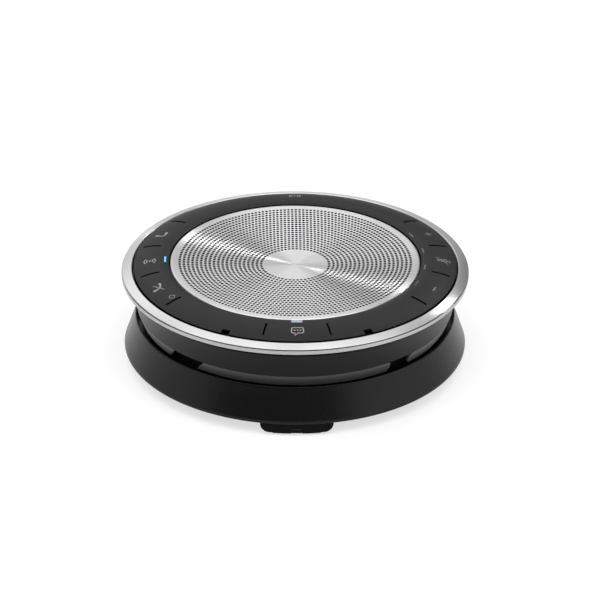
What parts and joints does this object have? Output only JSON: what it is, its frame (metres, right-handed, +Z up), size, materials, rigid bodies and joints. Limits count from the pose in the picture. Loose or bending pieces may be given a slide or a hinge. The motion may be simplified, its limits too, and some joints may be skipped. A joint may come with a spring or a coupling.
{
  "type": "conference speakerphone",
  "caption": "Low round tabletop speakerphone: dished perforated metal grille, ring of touch-like keys with light guides, steel trim ring, flared base with cable channel.",
  "frame": {"origin": "on the table, under the centre of the device", "axes": "+Z up, front key and plug dock towards -Y, volume keys towards +X, call keys towards -X"},
  "size_m": [0.12, 0.12, 0.036],
  "materials": {
    "grille_steel": "circular brushed",
    "polished_steel": "satin polished",
    "acoustic_cloth": "woven",
    "soft_touch": "soft touch paint",
    "black_plastic": "fine moulded texture",
    "grey_plastic": "satin",
    "circuit_board": "solder mask",
    "components": "moulded",
    "plated_steel": "zinc plated",
    "black_rubber": "matt",
    "flex_film": "polyimide",
    "dark_alloy": "powder coated",
    "paper_cone": "pressed pulp",
    "treated_cloth": "phenolic treated",
    "copper": "enamelled wire",
    "battery_film": "foil",
    "blue_light": "lit light guide",
    "pale_light": "frosted light guide"
  },
  "bodies": {
    "housing": {"grille": "grille_steel", "grille_cloth": "acoustic_cloth", "steel_ring": "polished_steel", "key_bezel": "soft_touch", "key_board": "circuit_board", "switch_domes": "plated_steel", "status_leds": "components", "microphones": "components", "mic_gaskets": "black_rubber", "link_antenna": "flex_film", "trim_seal": "black_rubber", "top_chassis": "black_plastic", "lower_housing": "black_plastic", "guard_strip_front": "grey_plastic", "guard_strip_rear": "grey_plastic", "speaker_frame": "dark_alloy", "speaker_yoke": "plated_steel", "speaker_magnet": "plated_steel", "speaker_pole_plate": "plated_steel", "speaker_surround": "black_rubber", "speaker_spider": "treated_cloth", "speaker_gasket": "black_rubber", "speaker_screws": "plated_steel", "main_board": "circuit_board", "board_parts": "components", "board_screws": "plated_steel", "ribbon_cable": "flex_film", "battery": "battery_film", "battery_pad": "black_rubber", "ballast_plate": "plated_steel", "base_skirt": "black_plastic", "base_hub": "black_plastic", "base_screws": "plated_steel", "chassis_screws": "plated_steel", "foot_ring": "black_rubber", "cable_grommet": "black_rubber", "plug_dock": "black_plastic", "call_light_guide": "blue_light", "app_light_guide": "pale_light", "volume_light_guides": "pale_light", "port_insert_left": "black_plastic", "port_insert_right": "black_plastic"},
    "cone_assembly": {"speaker_cone": "paper_cone", "dust_cap": "paper_cone", "voice_coil": "copper"},
    "key_call_body": {"key_call": "soft_touch"},
    "key_wireless_body": {"key_wireless": "soft_touch"},
    "key_hang_up_body": {"key_hang_up": "soft_touch"},
    "key_volume_up_body": {"key_volume_up": "soft_touch"},
    "key_mute_body": {"key_mute": "soft_touch"},
    "key_volume_down_body": {"key_volume_down": "soft_touch"},
    "key_app_body": {"key_app": "soft_touch"}
  },
  "joints": [
    {"name": "press_call", "type": "slide", "parent": "housing", "child": "key_call_body", "axis": [0, 0, -1], "range_m": [0, 0.0004], "stiffness_N_per_m": 4000, "springref_m": -0.0001},
    {"name": "press_wireless", "type": "slide", "parent": "housing", "child": "key_wireless_body", "axis": [0, 0, -1], "range_m": [0, 0.0004], "stiffness_N_per_m": 4000, "springref_m": -0.0001},
    {"name": "press_hang_up", "type": "slide", "parent": "housing", "child": "key_hang_up_body", "axis": [0, 0, -1], "range_m": [0, 0.0004], "stiffness_N_per_m": 4000, "springref_m": -0.0001},
    {"name": "press_volume_up", "type": "slide", "parent": "housing", "child": "key_volume_up_body", "axis": [0, 0, -1], "range_m": [0, 0.0004], "stiffness_N_per_m": 4000, "springref_m": -0.0001},
    {"name": "press_mute", "type": "slide", "parent": "housing", "child": "key_mute_body", "axis": [0, 0, -1], "range_m": [0, 0.0004], "stiffness_N_per_m": 4000, "springref_m": -0.0001},
    {"name": "press_volume_down", "type": "slide", "parent": "housing", "child": "key_volume_down_body", "axis": [0, 0, -1], "range_m": [0, 0.0004], "stiffness_N_per_m": 4000, "springref_m": -0.0001},
    {"name": "press_app", "type": "slide", "parent": "housing", "child": "key_app_body", "axis": [0, 0, -1], "range_m": [0, 0.0004], "stiffness_N_per_m": 4000, "springref_m": -0.0001},
    {"name": "cone_travel", "type": "slide", "parent": "housing", "child": "cone_assembly", "axis": [0, 0, 1], "range_m": [-0.0008, 0.0008], "stiffness_N_per_m": 1500, "deforming": ["speaker_surround", "speaker_spider"]}
  ]
}
